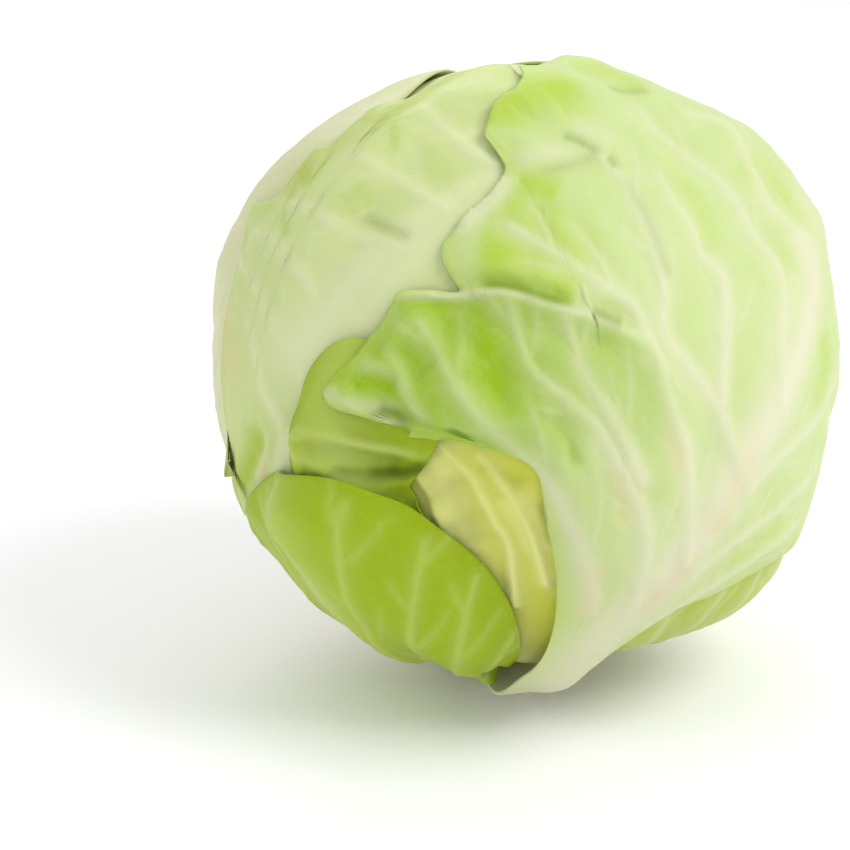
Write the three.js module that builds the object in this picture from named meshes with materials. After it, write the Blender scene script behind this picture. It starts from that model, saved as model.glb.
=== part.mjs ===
// A white cabbage head, standing on its cut stem: a packed heart, the stem stub, and nine wrapper leaves.
// Every leaf is a thin ribbed blade laid over the head and over the leaves inside it, in the order they grew.
// Millimetres, +Z up, origin at the middle of the stem's cut face. The front of the head faces -Y.
import * as THREE from "three";

// Driving dimensions of the head.
const HEART_RADIUS = 86.5; // of the packed inner leaves, before the hollows below
const HEART_HEIGHT = 90; // the middle of the head above the cut face
const BLADE = 0.9; // thickness of a leaf between its ribs
const RIB = 0.9; // how far a side rib stands out of the blade near the midrib
const MIDRIB = 3.2; // how far the midrib stands out at the leaf's base
const MIDRIB_WIDTH = 6.5; // degrees of arc to each side over which the midrib fades into the blade
const CLEARANCE = 1.2; // between one leaf and the next
const DRAPE = 17; // degrees of arc over which a leaf comes down past the edge of one that it covers
const EDGE_WAVE = 1.3; // height of the waves along a leaf's free edge
const FOLLOW = 3; // degrees past its edge where a leaf still lifts those above it by its full thickness
const MIDRIB_LEFT = 0.15; // share of the midrib's height that is left at its far end
const MIDRIB_FADE = 1.3; // above 1, the midrib comes down faster near the base
const MIDRIB_PAST = 60; // degrees past the middle of the blade where the midrib reaches its least height
const MIDRIB_ROOM = 1.9; // the room for a midrib under the leaves above it, as a multiple of its width
const SIDE_RIB_FROM = 0.25; // share of a side rib's swell that it has at the base already
const WAVES_ACROSS = 9; // turns of the edge wave from the midrib to the side edge, in radians
const WAVES_ALONG = 17; // and from the base to the free edge
const WAVE_FADE_IN = 6; // power by which the wave grows along the blade
const WAVE_FADE_OUT = 8; // and across it, so that only the edge is waved
const BESIDE_MIDRIB = 0.045; // share of the half blade at which the columns beside the midrib stand

// Directions are given as [polar, azimuth] in degrees.
// Polar 0 is the stem and 180 the crown; azimuth -90 is the front.
const DEG = Math.PI / 180;

function direction([polar, azimuth]) {
  const p = polar * DEG;
  const a = azimuth * DEG;
  return new THREE.Vector3(Math.sin(p) * Math.cos(a), Math.sin(p) * Math.sin(a), -Math.cos(p));
}

// Hollows (negative) and swellings of the head: [polar, azimuth], radius in degrees, height in millimetres.
const HEAD_SHAPE = [
  { at: [0, 0], radius: 40, height: -10 }, // the dimple round the stem
  { at: [128.5, 7], radius: 16, height: 8.6 }, // the shoulder at the right
  { at: [115, -178], radius: 44, height: 6 }, // the full side at the left
  { at: [44, -42], radius: 24, height: 4.5 }, // the full foot at the right
  { at: [53, -20], radius: 14, height: 5 }, // and where it bulges most
  { at: [168, 105], radius: 15, height: 3.8 }, // the crown, just behind the middle
  { at: [100, -112], radius: 19, height: -5 }, // where the front leaf is crumpled
  { at: [78, -103], radius: 21, height: -9 }, // the open hollow under its edge
];

function bump(d, { at, radius, height }) {
  const away = d.angleTo(direction(at)) / DEG / radius;
  return height * Math.exp(-away * away);
}

function headRadius(d) {
  return HEAD_SHAPE.reduce((sum, shape) => sum + bump(d, shape), HEART_RADIUS);
}

// The wrapper leaves, from the innermost outwards. Lengths along the leaf are degrees of arc on the head.
// base: where the midrib leaves the stem; centre: the middle of the blade;
// reach: from the centre to the edge, evenly from the direction "from" on the left to 120 on the right,
// where 0 is straight away from the base;
// tip: the direction in which the midrib ends; petiole: the left and right edges at the base;
// pulls: for lines from the base to the edge, evenly from the left edge over the midrib to the right edge,
// the two points [across, along, across, along] that give the line its curve;
// ribs: side ribs to the left and right of the midrib; rows: rows of facets from base to tip;
// lifts: swellings of this leaf alone, where it stands off the ones inside it.
const LEAVES = [
  {
    name: "leaf_crown",
    base: [32, 58],
    centre: [128, 105],
    from: -120,
    reach: [50, 56, 62, 60, 58, 60, 62, 58, 52],
    tip: 5,
    pulls: [[-16, -78, -29, -38], [2, -70, 6, -20], [14, -78, 33, -42]],
    petiole: [-6, 6],
    ribs: [5, 5],
    rows: 17,
    lifts: [],
  },
  {
    name: "leaf_back_left",
    base: [16, 112],
    centre: [98, 156],
    from: -120,
    reach: [48, 58, 62, 62, 64, 62, 58, 52, 48],
    tip: 8,
    pulls: [[-14, -62, -26, -34], [0, -60, -3, -10], [13, -62, 30, -42]],
    petiole: [-6.5, 6.5],
    ribs: [5, 5],
    rows: 16,
    lifts: [],
  },
  {
    name: "leaf_back_right",
    base: [16, 18],
    centre: [102, 58],
    from: -120,
    reach: [52, 62, 66, 66, 64, 62, 60, 56, 50],
    tip: 10,
    pulls: [[-15, -64, -30, -38], [0, -60, -3, -10], [13, -62, 31, -42]],
    petiole: [-6.5, 6.5],
    ribs: [5, 5],
    rows: 16,
    lifts: [],
  },
  {
    name: "leaf_left",
    base: [16, -178],
    centre: [112, -134],
    from: -120,
    reach: [42, 38, 40, 56, 66, 68, 62, 54, 44],
    tip: 18,
    pulls: [[-12, -66, -25, -36], [1, -62, 4, 2], [16, -66, 24, -32]],
    petiole: [-6.5, 6.5],
    ribs: [5, 5],
    rows: 18,
    lifts: [],
  },
  {
    name: "leaf_low_right",
    base: [16, -34],
    centre: [68, -18],
    from: -120,
    reach: [52, 54, 50, 50, 50, 50, 48, 46, 42],
    tip: 6,
    pulls: [[-20, -44, -34, -40], [0, -34, 0, -4], [12, -40, 28, -32]],
    petiole: [-7, 7],
    ribs: [4, 4],
    rows: 14,
    lifts: [],
  },
  {
    name: "leaf_front_inner",
    base: [36, -88],
    centre: [82, -102],
    from: -120,
    reach: [24, 27, 28, 28, 32, 38, 40, 36, 30],
    tip: -4,
    pulls: [[-10, -34, -13, -19], [-3, -30, -3, -6], [11, -34, 15, -24]],
    petiole: [-6, 6],
    ribs: [4, 4],
    rows: 12,
    lifts: [],
  },
  {
    name: "leaf_front_low",
    base: [34, -112],
    centre: [84, -122],
    from: -120,
    reach: [12, 12, 12, 13, 14, 16, 18, 23, 27, 28, 28, 27, 22, 15, 11, 12, 15],
    tip: 2,
    pulls: [
      [-8, -40, -5, -11],
      [-2, -38, -1, -10],
      [0, -36, 0, -6],
      [2, -38, -4, -2],
      [8, -42, 12, -22],
    ],
    petiole: [-6, 6],
    ribs: [4, 4],
    rows: 13,
    lifts: [
      { at: [91, -128], radius: 11, height: 5 },
      { at: [84, -118], radius: 9, height: 2 },
    ],
  },
  {
    name: "leaf_low_left",
    base: [16, -132],
    centre: [55, -134],
    from: -120,
    reach: [26, 26, 25, 26, 31, 36, 35, 36, 35],
    tip: 0,
    pulls: [[-10, -31, -18, -22], [0, -24, 0, -2], [11, -30, 24, -26]],
    petiole: [-7, 7],
    ribs: [4, 4],
    rows: 12,
    lifts: [{ at: [82, -124], radius: 12, height: 4 }],
  },
  {
    name: "leaf_front",
    base: [15, -80],
    centre: [112, -62],
    from: -105,
    reach: [53, 60, 46, 42, 40, 49, 59, 70, 78, 82, 86, 90, 90, 88, 84, 80],
    tip: 50,
    pulls: [
      [-6, -62, -18, -12],
      [-1, -62, -8.5, -17],
      [-4, -61, -4, -21],
      [-9, -60, 8, -10],
      [-11, -62, 12, -25],
      [-12.3, -61, 12, -34.5],
      [-12.8, -59, 12, -42],
      [-12.5, -56, 11.5, -47],
      [-12.5, -52, 11, -51],
    ],
    petiole: [-26, 2],
    ribs: [8, 5],
    rows: 24,
    lifts: [
      { at: [98, -98], radius: 15, height: 5 },
      { at: [102, -122], radius: 10, height: 3 },
      { at: [76, -84], radius: 14, height: 4 },
    ],
  },
];

const REACH_TO = 120;
const SIDE_STEPS = 12; // points along the edge below each shoulder
const CROWN_STEPS = 60; // points round the rest of the edge

// A smooth curve through evenly spaced values, at position x from 0 to values.length - 1.
function through(values, x) {
  const last = values.length - 1;
  const i = Math.min(Math.floor(x), last - 1);
  const f = x - i;
  const [a, b, c, d] = [values[Math.max(i - 1, 0)], values[i], values[i + 1], values[Math.min(i + 2, last)]];
  return b + 0.5 * f * (c - a + f * (2 * a - 5 * b + 4 * c - d + f * (3 * (b - c) + d - a)));
}

// The flat plane of a leaf: x across and y along, in degrees of arc from the blade's centre.
function edgePoint(leaf, turn) {
  const steps = (leaf.reach.length - 1) / (REACH_TO - leaf.from);
  const far = through(leaf.reach, (turn - leaf.from) * steps);
  return new THREE.Vector2(far * Math.sin(turn * DEG), far * Math.cos(turn * DEG));
}

function onCurve(start, pullOut, pullIn, end, t) {
  const s = 1 - t;
  return start
    .clone()
    .multiplyScalar(s ** 3)
    .addScaledVector(pullOut, 3 * s * s * t)
    .addScaledVector(pullIn, 3 * s * t * t)
    .addScaledVector(end, t ** 3);
}

// A point of the blade: across from -1, the left edge, over the midrib to 1; along from 0, the base, to 1.
function bladePoint(leaf, across, along) {
  const turn = leaf.tip + across * (across < 0 ? leaf.tip - leaf.from : REACH_TO - leaf.tip);
  const start = new THREE.Vector2(THREE.MathUtils.lerp(...leaf.petiole, (across + 1) / 2), -leaf.baseArc);
  const which = ((across + 1) / 2) * (leaf.pulls.length - 1);
  const [x1, y1, x2, y2] = [0, 1, 2, 3].map((k) => through(leaf.pulls.map((pull) => pull[k]), which));
  return onCurve(start, new THREE.Vector2(x1, y1), new THREE.Vector2(x2, y2), edgePoint(leaf, turn), along);
}

function prepare(leaf) {
  const centre = direction(leaf.centre);
  const base = direction(leaf.base);
  const along = base.clone().addScaledVector(centre, -base.dot(centre)).normalize().negate();
  const across = along.clone().cross(centre);
  const ready = { ...leaf, centreOut: centre, along, across, baseArc: centre.angleTo(base) / DEG };
  ready.outline = [];
  for (let i = 0; i <= SIDE_STEPS; i++) ready.outline.push(bladePoint(ready, -1, i / SIDE_STEPS));
  for (let i = 1; i < CROWN_STEPS; i++) {
    ready.outline.push(bladePoint(ready, -1 + (2 * i) / CROWN_STEPS, 1));
  }
  for (let i = SIDE_STEPS; i >= 0; i--) ready.outline.push(bladePoint(ready, 1, i / SIDE_STEPS));
  ready.midrib = [];
  for (let i = 0; i <= SIDE_STEPS; i++) ready.midrib.push(bladePoint(ready, 0, i / SIDE_STEPS));
  return ready;
}

function toDirection(leaf, point) {
  const arc = point.length() * DEG;
  const pull = arc > 1e-9 ? (Math.sin(arc) / arc) * DEG : DEG;
  return leaf.centreOut
    .clone()
    .multiplyScalar(Math.cos(arc))
    .addScaledVector(leaf.across, pull * point.x)
    .addScaledVector(leaf.along, pull * point.y);
}

function toPlane(leaf, d) {
  const arc = d.angleTo(leaf.centreOut) / DEG;
  const point = new THREE.Vector2(d.dot(leaf.across), d.dot(leaf.along));
  return point.setLength(arc);
}

function distanceToSegment(p, a, b) {
  const run = b.clone().sub(a);
  const t = THREE.MathUtils.clamp(p.clone().sub(a).dot(run) / Math.max(run.lengthSq(), 1e-9), 0, 1);
  return p.distanceTo(a.clone().addScaledVector(run, t));
}

// How far inside the outline a point is, in degrees; negative outside.
function depthInside(leaf, p) {
  let inside = false;
  let nearest = Infinity;
  leaf.outline.forEach((a, i) => {
    const b = leaf.outline[(i + 1) % leaf.outline.length];
    nearest = Math.min(nearest, distanceToSegment(p, a, b));
    if (a.y > p.y !== b.y > p.y && p.x < ((b.x - a.x) * (p.y - a.y)) / (b.y - a.y) + a.x) inside = !inside;
  });
  return inside ? nearest : -nearest;
}

function distanceToMidrib(leaf, p) {
  let nearest = Infinity;
  for (let i = 1; i < leaf.midrib.length; i++) {
    nearest = Math.min(nearest, distanceToSegment(p, leaf.midrib[i - 1], leaf.midrib[i]));
  }
  return nearest;
}

// The midrib is thickest at the base and dies away towards the tip.
function midribHeight(leaf, p) {
  const way = THREE.MathUtils.clamp((p.y + leaf.baseArc) / (leaf.baseArc + MIDRIB_PAST), 0, 1);
  return MIDRIB * Math.pow(THREE.MathUtils.lerp(1, MIDRIB_LEFT, way), MIDRIB_FADE);
}

// The room that a leaf takes up under the ones above it, which comes down smoothly outside its edge.
function roomTaken(leaf, d) {
  const p = toPlane(leaf, d);
  const depth = depthInside(leaf, p);
  if (depth < -DRAPE - FOLLOW) return 0;
  const share = THREE.MathUtils.smoothstep(depth, -DRAPE - FOLLOW, -FOLLOW);
  const away = distanceToMidrib(leaf, p) / (MIDRIB_ROOM * MIDRIB_WIDTH);
  const rib = midribHeight(leaf, p) * Math.exp(-away * away);
  const lift = leaf.lifts.reduce((sum, shape) => sum + bump(d, shape), 0);
  return share * (BLADE + RIB + rib + CLEARANCE + lift);
}

// A leaf's inner face: on the heart and on the leaves inside it.
function innerRadius(leaf, inside, d) {
  const stack = inside.reduce((sum, other) => sum + roomTaken(other, d), 0);
  const lift = leaf.lifts.reduce((sum, shape) => sum + bump(d, shape), 0);
  return headRadius(d) + CLEARANCE + stack + lift;
}

// Ribs stand on every second column, and the edge is waved between them.
function leafGeometry(leaf, inside) {
  const [left, right] = leaf.ribs.map((count) => 2 * count);
  const columns = [];
  for (let i = -left; i < 0; i++) columns.push({ across: i / left, rib: i > -left && i % 2 === 0 });
  for (const across of [-BESIDE_MIDRIB, 0, BESIDE_MIDRIB]) columns.push({ across, rib: false });
  for (let i = 1; i <= right; i++) columns.push({ across: i / right, rib: i < right && i % 2 === 0 });
  const wide = columns.length;
  const points = [];
  const faces = [[], []];
  for (let row = 0; row <= leaf.rows; row++) {
    const along = row / leaf.rows;
    const swell = Math.sqrt(Math.sin(Math.PI * Math.min(1, THREE.MathUtils.lerp(SIDE_RIB_FROM, 1, along))));
    for (const { across, rib } of columns) {
      const p = bladePoint(leaf, across, along);
      const d = toDirection(leaf, p);
      const away = distanceToMidrib(leaf, p) / MIDRIB_WIDTH;
      const edge = Math.max(Math.pow(along, WAVE_FADE_IN), Math.pow(Math.abs(across), WAVE_FADE_OUT) * along);
      const wave = 0.5 * EDGE_WAVE * edge * (1 + Math.sin(WAVES_ACROSS * across + WAVES_ALONG * along));
      const inner = innerRadius(leaf, inside, d) + wave;
      const thick = BLADE + (rib ? RIB * swell : 0) + midribHeight(leaf, p) * Math.exp(-away * away);
      [inner + thick, inner].forEach((r, face) => {
        const place = d.clone().multiplyScalar(r);
        faces[face].push(points.length / 3);
        points.push(place.x, place.y, place.z + HEART_HEIGHT);
      });
    }
  }
  const [outer, inner] = faces;
  const triangles = [];
  const quad = (a, b, c, d) => triangles.push(a, b, c, a, c, d);
  for (let row = 0; row < leaf.rows; row++) {
    for (let i = 0; i < wide - 1; i++) {
      const a = row * wide + i;
      const b = a + 1;
      const c = b + wide;
      const d = a + wide;
      quad(outer[a], outer[b], outer[c], outer[d]);
      triangles.push(inner[a], inner[c], inner[b], inner[a], inner[d], inner[c]);
    }
  }
  const rim = [];
  for (let i = 0; i < wide - 1; i++) rim.push(i);
  for (let row = 0; row < leaf.rows; row++) rim.push(row * wide + wide - 1);
  for (let i = wide - 1; i > 0; i--) rim.push(leaf.rows * wide + i);
  for (let row = leaf.rows; row > 0; row--) rim.push(row * wide);
  rim.forEach((a, i) => {
    const b = rim[(i + 1) % rim.length];
    quad(outer[b], outer[a], inner[a], inner[b]);
  });
  const geometry = new THREE.BufferGeometry();
  geometry.setAttribute("position", new THREE.Float32BufferAttribute(points, 3));
  geometry.setIndex(triangles);
  return geometry;
}

// The stem stub: a short stalk with a flat cut face, a little narrower towards the foot of the heart.
const STEM_RADIUS = 15;
const STEM_HEIGHT = 14;
const STEM_BEVEL = 1;
const STEM_WAIST = 0.6; // how much narrower it is half way up
const STEM_NECK = 1.5; // and at the top, where the heart's dimple takes it in
const STEM_SIDES = 32;

function stemGeometry() {
  const profile = [
    [0, 0],
    [STEM_RADIUS - STEM_BEVEL, 0],
    [STEM_RADIUS, STEM_BEVEL],
    [STEM_RADIUS - STEM_WAIST, STEM_HEIGHT * 0.5],
    [STEM_RADIUS - STEM_NECK, STEM_HEIGHT],
    [0, STEM_HEIGHT],
  ];
  const turned = new THREE.LatheGeometry(profile.map(([r, z]) => new THREE.Vector2(r, z)), STEM_SIDES);
  return turned.rotateX(Math.PI / 2);
}

// The heart: the packed inner leaves as one body, cut away round the stem.
const HEART_GAP = 1.8; // below the room of the first leaves
const HEART_COLUMNS = 40;
const HEART_ROWS = 20;
const HEART_FROM = 10.5; // degrees from the stem, where its foot begins
const HEART_TO = 172; // and where its last row of facets ends, below the one point of the crown

function heartGeometry() {
  const points = [];
  const triangles = [];
  const foot = STEM_HEIGHT + CLEARANCE;
  points.push(0, 0, foot);
  for (let row = 0; row <= HEART_ROWS; row++) {
    const polar = HEART_FROM + ((HEART_TO - HEART_FROM) * row) / HEART_ROWS;
    for (let i = 0; i < HEART_COLUMNS; i++) {
      const d = direction([polar, (360 * i) / HEART_COLUMNS]);
      const place = d.clone().multiplyScalar(headRadius(d) - HEART_GAP);
      place.z = Math.max(place.z + HEART_HEIGHT, foot);
      points.push(place.x, place.y, place.z);
    }
  }
  const crown = direction([180, 0]);
  points.push(0, 0, HEART_HEIGHT + headRadius(crown) - HEART_GAP);
  const last = points.length / 3 - 1;
  const at = (row, i) => 1 + row * HEART_COLUMNS + (i % HEART_COLUMNS);
  for (let i = 0; i < HEART_COLUMNS; i++) {
    triangles.push(0, at(0, i + 1), at(0, i));
    for (let row = 0; row < HEART_ROWS; row++) {
      triangles.push(at(row, i), at(row, i + 1), at(row + 1, i + 1));
      triangles.push(at(row, i), at(row + 1, i + 1), at(row + 1, i));
    }
    triangles.push(at(HEART_ROWS, i), at(HEART_ROWS, i + 1), last);
  }
  const geometry = new THREE.BufferGeometry();
  geometry.setAttribute("position", new THREE.Float32BufferAttribute(points, 3));
  geometry.setIndex(triangles);
  return geometry;
}

const blade = new THREE.MeshStandardMaterial({ color: "#cfe3a0", roughness: 0.45, metalness: 0 });
const greenBlade = new THREE.MeshStandardMaterial({ color: "#b4d46a", roughness: 0.45, metalness: 0 });
const heartFlesh = new THREE.MeshStandardMaterial({ color: "#e6e8b8", roughness: 0.5, metalness: 0 });
const stalk = new THREE.MeshStandardMaterial({ color: "#efe9cf", roughness: 0.6, metalness: 0 });

const head = new THREE.Group();

function add(name, geometry, material) {
  geometry.computeVertexNormals();
  const mesh = new THREE.Mesh(geometry, material);
  mesh.name = name;
  head.add(mesh);
}

add("stem", stemGeometry(), stalk);
add("heart", heartGeometry(), heartFlesh);
const laid = [];
for (const leaf of LEAVES.map(prepare)) {
  add(leaf.name, leafGeometry(leaf, laid), leaf.name.includes("low") ? greenBlade : blade);
  laid.push(leaf);
}

export default head;
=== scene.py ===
import math

import bpy
import numpy as np
from mathutils import Matrix, Vector, noise
from mathutils.bvhtree import BVHTree


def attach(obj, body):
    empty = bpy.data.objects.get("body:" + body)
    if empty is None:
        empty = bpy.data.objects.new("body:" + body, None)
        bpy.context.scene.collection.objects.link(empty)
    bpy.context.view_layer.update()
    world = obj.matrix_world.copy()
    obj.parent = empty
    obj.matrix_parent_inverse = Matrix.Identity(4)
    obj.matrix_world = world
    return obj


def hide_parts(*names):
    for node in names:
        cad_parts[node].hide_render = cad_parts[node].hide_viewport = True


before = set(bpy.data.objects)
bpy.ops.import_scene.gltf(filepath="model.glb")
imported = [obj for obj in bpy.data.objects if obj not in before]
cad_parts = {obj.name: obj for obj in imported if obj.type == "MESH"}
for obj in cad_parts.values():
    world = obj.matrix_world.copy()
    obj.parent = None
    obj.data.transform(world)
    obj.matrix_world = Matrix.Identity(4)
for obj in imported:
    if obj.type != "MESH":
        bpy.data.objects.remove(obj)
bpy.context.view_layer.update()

# The camera stands in front of the head and a little above it, as for the photograph.
# It looks down by 19 degrees and slightly past the head's left side, with a long lens.
CAMERA_AT = np.array([0.0, -0.808398, 0.352664])
CAMERA_FORWARD = np.array([-0.03414, 0.94486, -0.32570])
CAMERA_RIGHT = np.array([0.99935, 0.03611, 0.0])
CAMERA_UP = np.array([-0.01176, 0.32549, 0.94547])
LENS_MM = 119
SENSOR_MM = 36
bpy.ops.object.select_all(action="DESELECT")
bpy.ops.object.camera_add()
camera = bpy.context.object
camera.name = "camera"
camera.data.lens = LENS_MM
camera.data.sensor_width = SENSOR_MM
camera.data.clip_end = 20
turn = Matrix([CAMERA_RIGHT, CAMERA_UP, -CAMERA_FORWARD]).transposed()
camera.matrix_world = Matrix.Translation(CAMERA_AT) @ turn.to_4x4()
bpy.context.scene.camera = camera

# A white floor under the head, lit from all round by a white room.
# One wide softbox hangs at the upper right, a weaker one at the left, and a third lights the back.
bpy.ops.mesh.primitive_plane_add(size=9)
floor = bpy.context.object
floor.name = "floor"
paper = bpy.data.materials.new("white_paper")
paper.use_nodes = True
paper_shader = paper.node_tree.nodes["Principled BSDF"]
paper_shader.inputs["Base Color"].default_value = (0.965, 0.965, 0.985, 1)
paper_shader.inputs["Roughness"].default_value = 0.9
paper_shader.inputs["Specular IOR Level"].default_value = 0.1
floor.data.materials.append(paper)

room = bpy.data.worlds.new("white_room")
room.use_nodes = True
room.node_tree.nodes["Background"].inputs["Color"].default_value = (1.0, 1.0, 1.0, 1)
room.node_tree.nodes["Background"].inputs["Strength"].default_value = 0.78
bpy.context.scene.world = room
bpy.context.scene.view_settings.view_transform = "Standard"

HEAD_CENTRE = Vector((0, 0, 0.09))
SOFTBOXES = [
    ("softbox_right", (0.75, -0.35, 0.95), 0.7, 7),
    ("softbox_left", (-0.95, -0.6, 0.5), 0.8, 1.5),
    ("softbox_back", (-0.2, 0.9, 0.8), 0.8, 3),
]
for name, place, size, watts in SOFTBOXES:
    bpy.ops.object.light_add(type="AREA", location=place)
    softbox = bpy.context.object
    softbox.name = name
    softbox.data.shape = "DISK"
    softbox.data.size = size
    softbox.data.energy = watts
    softbox.rotation_euler = (HEAD_CENTRE - Vector(place)).to_track_quat("-Z", "Y").to_euler()

# The stem stub, cut flat, on which the head stands: a short pithy stalk with a rough skin.
# It is turned from a disc, drawn up in rings, and its cut face shows rings of fibre.
MM = 0.001
STEM_RADIUS = 15
STEM_RINGS = [(6, 0.3), (12, -0.9), (14, -1.6)]
bpy.ops.mesh.primitive_cylinder_add(vertices=96, radius=(STEM_RADIUS - 1) * MM, depth=1 * MM)
stem = bpy.context.object
stem.name = "stem_stub"
bpy.ops.object.mode_set(mode="EDIT")
bpy.ops.mesh.select_all(action="DESELECT")
bpy.ops.object.mode_set(mode="OBJECT")
for face in stem.data.polygons:
    face.select = face.normal.z > 0.9
bpy.ops.object.mode_set(mode="EDIT")
bpy.ops.transform.translate(value=(0, 0, 0.5 * MM))
grow = STEM_RADIUS / (STEM_RADIUS - 1)
bpy.ops.transform.resize(value=(grow, grow, 1))
height = 1.0
for top, wider in STEM_RINGS:
    bpy.ops.mesh.extrude_region_move(TRANSFORM_OT_translate={"value": (0, 0, (top - height) * MM)})
    grow = 1 + wider / STEM_RADIUS / 2
    bpy.ops.transform.resize(value=(grow, grow, 1))
    height = top
bpy.ops.object.mode_set(mode="OBJECT")
stem.location.z = 0.5 * MM
bpy.ops.object.transform_apply(location=True, rotation=True, scale=True)
for v in stem.data.vertices:
    out = math.hypot(v.co.x, v.co.y)
    if out > 0.011 and v.co.z > 0.0005:
        angle = math.atan2(v.co.y, v.co.x)
        groove = 0.35 * math.sin(17 * angle + 3 * math.sin(2 * angle)) + 0.2 * math.sin(41 * angle)
        v.co.x *= 1 + groove * MM / out
        v.co.y *= 1 + groove * MM / out
bevel = stem.modifiers.new("worn_rim", "BEVEL")
bevel.width = 0.5 * MM
bevel.segments = 3
bevel.limit_method = "ANGLE"
bpy.ops.object.modifier_apply(modifier=bevel.name)
bpy.ops.object.shade_smooth_by_angle(angle=math.radians(40))

pith = bpy.data.materials.new("cut_stem")
pith.use_nodes = True
nodes, links = pith.node_tree.nodes, pith.node_tree.links
shader = nodes["Principled BSDF"]
shader.inputs["Roughness"].default_value = 0.7
shader.inputs["Subsurface Weight"].default_value = 0.15
shader.inputs["Subsurface Radius"].default_value = (0.004, 0.003, 0.001)
place = nodes.new("ShaderNodeTexCoord")
rings = nodes.new("ShaderNodeTexWave")
rings.wave_type = "RINGS"
rings.rings_direction = "Z"
rings.inputs["Scale"].default_value = 160
rings.inputs["Distortion"].default_value = 3
rings.inputs["Detail Scale"].default_value = 2
links.new(place.outputs["Object"], rings.inputs["Vector"])
fibre = nodes.new("ShaderNodeTexNoise")
fibre.inputs["Scale"].default_value = 700
fibre.inputs["Detail"].default_value = 6
links.new(place.outputs["Object"], fibre.inputs["Vector"])
blend = nodes.new("ShaderNodeMix")
blend.inputs[0].default_value = 0.45
links.new(rings.outputs["Fac"], blend.inputs[2])
links.new(fibre.outputs["Fac"], blend.inputs[3])
tint = nodes.new("ShaderNodeValToRGB")
tint.color_ramp.elements[0].color = (0.50, 0.40, 0.20, 1)
tint.color_ramp.elements[0].position = 0.25
tint.color_ramp.elements[1].color = (0.82, 0.78, 0.55, 1)
tint.color_ramp.elements[1].position = 0.7
links.new(blend.outputs[0], tint.inputs["Fac"])
links.new(tint.outputs["Color"], shader.inputs["Base Color"])
dent = nodes.new("ShaderNodeBump")
dent.inputs["Strength"].default_value = 0.4
dent.inputs["Distance"].default_value = 0.3 * MM
links.new(fibre.outputs["Fac"], dent.inputs["Height"])
links.new(dent.outputs["Normal"], shader.inputs["Normal"])
stem.data.materials.append(pith)
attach(stem, "root")
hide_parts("stem")

# The heart: the inner leaves of the head, built here in place of the imported heart, pale and tight, seen only
# in gaps among the wrapper leaves.
# One closed body, dimpled where the stem enters and folded a little where its own leaves overlap.
# Directions are (polar, azimuth) in degrees: polar 0 is the stem and 180 the crown, azimuth -90 the front.
# A hollow or swelling of the head is its direction, its radius in degrees and its height in millimetres.
HEART_RADIUS = 86.5
HEART_HEIGHT = 90
HEART_GAP = 1.8
HEART_FROM = 10.5
HEAD_SHAPE = [
    ((0, 0), 40, -10),
    ((128.5, 7), 16, 8.6),
    ((115, -178), 44, 6),
    ((44, -42), 24, 4.5),
    ((53, -20), 14, 5),
    ((168, 105), 15, 3.8),
    ((100, -112), 19, -5),
    ((78, -103), 21, -9),
]


def direction(polar, azimuth):
    p, a = math.radians(polar), math.radians(azimuth)
    return np.array([math.sin(p) * math.cos(a), math.sin(p) * math.sin(a), -math.cos(p)])


def swelling(d, at, radius, height):
    away = np.degrees(np.arccos(np.clip(d @ direction(*at), -1, 1))) / radius
    return height * np.exp(-away * away)


def head_radius(d):
    return HEART_RADIUS + sum(swelling(d, *shape) for shape in HEAD_SHAPE)


def places_of(mesh):
    places = np.empty(len(mesh.vertices) * 3)
    mesh.vertices.foreach_get("co", places)
    return places.reshape(-1, 3)


bpy.ops.object.select_all(action="DESELECT")
bpy.ops.mesh.primitive_uv_sphere_add(segments=128, ring_count=84, radius=1)
heart = bpy.context.object
heart.name = "packed_heart"
out = places_of(heart.data)
out /= np.linalg.norm(out, axis=1, keepdims=True)
polar = np.degrees(np.arccos(np.clip(-out[:, 2], -1, 1)))
azimuth = np.arctan2(out[:, 1], out[:, 0])
fold = 0.5 * np.sin(3 * azimuth + 0.07 * polar) ** 9 + 0.3 * np.sin(5 * azimuth - 0.05 * polar) ** 7
reach = head_radius(out) - HEART_GAP - 0.5 + fold
foot = np.clip(polar / HEART_FROM, 0, 1) ** 2
reach = reach * (0.86 + 0.14 * foot)
heart_places = out * reach[:, None] + [0, 0, HEART_HEIGHT]
heart.data.vertices.foreach_set("co", (heart_places * MM).ravel())
heart.data.update()
bpy.ops.object.shade_smooth()

tight = bpy.data.materials.new("heart_leaf")
tight.use_nodes = True
nodes, links = tight.node_tree.nodes, tight.node_tree.links
shader = nodes["Principled BSDF"]
shader.inputs["Roughness"].default_value = 0.45
shader.inputs["Subsurface Weight"].default_value = 0.2
shader.inputs["Subsurface Radius"].default_value = (0.005, 0.004, 0.001)
place = nodes.new("ShaderNodeTexCoord")
net = nodes.new("ShaderNodeTexVoronoi")
net.feature = "DISTANCE_TO_EDGE"
net.inputs["Scale"].default_value = 110
links.new(place.outputs["Object"], net.inputs["Vector"])
tint = nodes.new("ShaderNodeValToRGB")
tint.color_ramp.elements[0].color = (0.85, 0.84, 0.58, 1)
tint.color_ramp.elements[1].color = (0.72, 0.76, 0.36, 1)
tint.color_ramp.elements[1].position = 0.25
links.new(net.outputs["Distance"], tint.inputs["Fac"])
links.new(tint.outputs["Color"], shader.inputs["Base Color"])
dent = nodes.new("ShaderNodeBump")
dent.invert = True
dent.inputs["Strength"].default_value = 0.25
dent.inputs["Distance"].default_value = 0.3 * MM
links.new(net.outputs["Distance"], dent.inputs["Height"])
links.new(dent.outputs["Normal"], shader.inputs["Normal"])
heart.data.materials.append(tight)
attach(heart, "root")
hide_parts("heart")

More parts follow.
